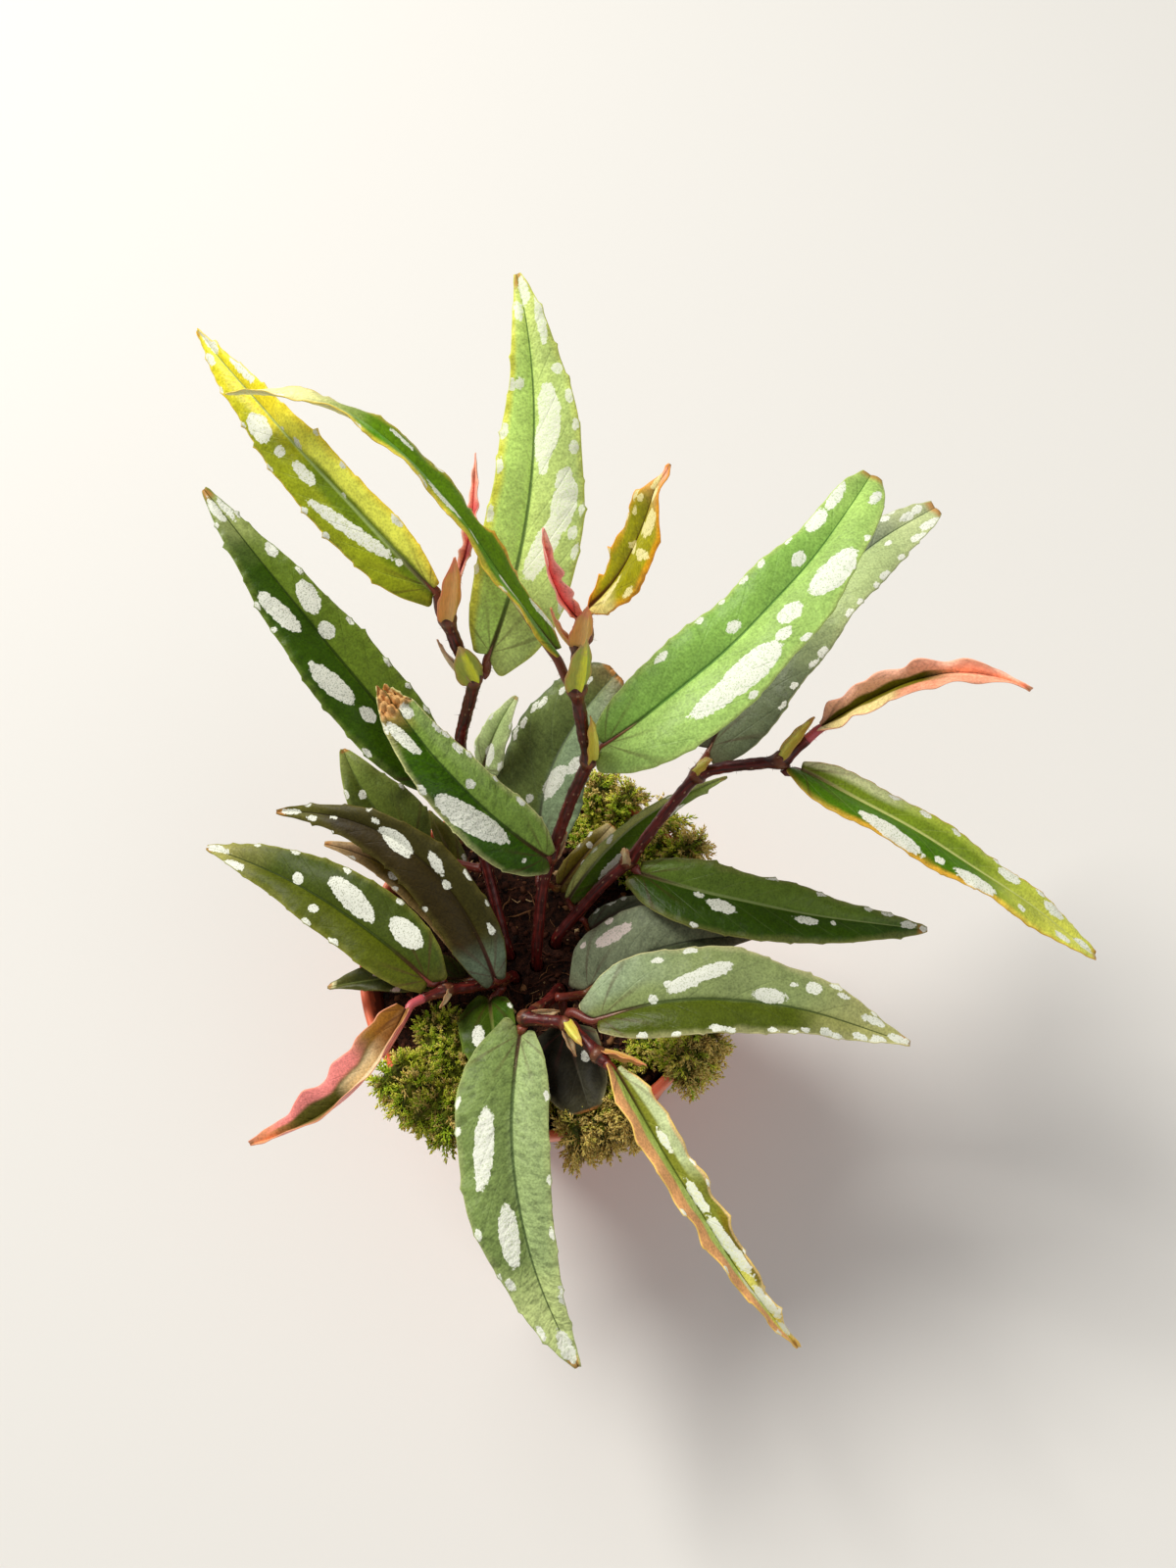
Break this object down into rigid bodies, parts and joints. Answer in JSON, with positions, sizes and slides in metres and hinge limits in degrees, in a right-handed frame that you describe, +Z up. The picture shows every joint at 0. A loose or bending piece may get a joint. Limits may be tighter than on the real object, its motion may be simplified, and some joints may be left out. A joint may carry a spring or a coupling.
{
  "type": "potted begonia",
  "caption": "Cane begonia with zigzag stems and spotted, wing-shaped leaves, growing in soil with moss in a round plastic pot.",
  "frame": {"origin": "centre of the pot's flat underside", "axes": "+Z up along the pot's axis; +Y is the side the tall canes lean to, away from the viewer"},
  "size_m": [0.1935, 0.2056, 0.2033],
  "materials": {
    "pot_plastic": "satin moulded plastic",
    "soil": "rough, crumbly",
    "cane_bark": "satin, bristly",
    "leaf_pale": "semi-gloss, pebbled",
    "leaf_green": "semi-gloss, pebbled",
    "leaf_lime": "semi-gloss, pebbled",
    "leaf_dark": "semi-gloss, pebbled",
    "leaf_olive": "semi-gloss, pebbled",
    "leaf_brown": "semi-gloss, pebbled",
    "leaf_grey": "semi-gloss, pebbled",
    "leaf_amber": "semi-gloss",
    "leaf_pink": "semi-gloss",
    "moss": "rough, fine"
  },
  "bodies": {
    "root": {"pot": "pot_plastic", "soil": "soil", "cane_tall": "cane_bark", "cane_back": "cane_bark", "cane_right": "cane_bark", "cane_front": "cane_bark", "cane_left": "cane_bark", "leaf_right_large": "leaf_pale", "leaf_right_pale": "leaf_pale", "leaf_upright": "leaf_pale", "leaf_upper_left": "leaf_lime", "leaf_arching": "leaf_green", "leaf_left_dark": "leaf_dark", "leaf_brown_tip": "leaf_green", "leaf_inner_grey": "leaf_grey", "leaf_right_dark": "leaf_dark", "leaf_far_right": "leaf_green", "leaf_inner_narrow": "leaf_dark", "leaf_front_right": "leaf_green", "leaf_under_front": "leaf_grey", "leaf_front": "leaf_green", "leaf_folded_front": "leaf_lime", "leaf_low_left": "leaf_olive", "leaf_left_brown": "leaf_brown", "leaf_left_under": "leaf_brown", "leaf_back_olive": "leaf_olive", "leaf_back_small": "leaf_pale", "leaf_low_inner": "leaf_olive", "leaf_low_grey": "leaf_grey", "leaf_low_front": "leaf_dark", "leaf_low_left_small": "leaf_dark", "leaf_flat_dark": "leaf_dark", "leaf_back_tiny": "leaf_olive", "young_amber": "leaf_amber", "shoot_pink": "leaf_pink", "shoot_pink_left": "leaf_pink", "young_pink_right": "leaf_pink", "young_pink_left": "leaf_pink", "moss_left": "moss", "moss_front": "moss", "moss_right": "moss", "moss_back": "moss"}
  },
  "joints": []
}
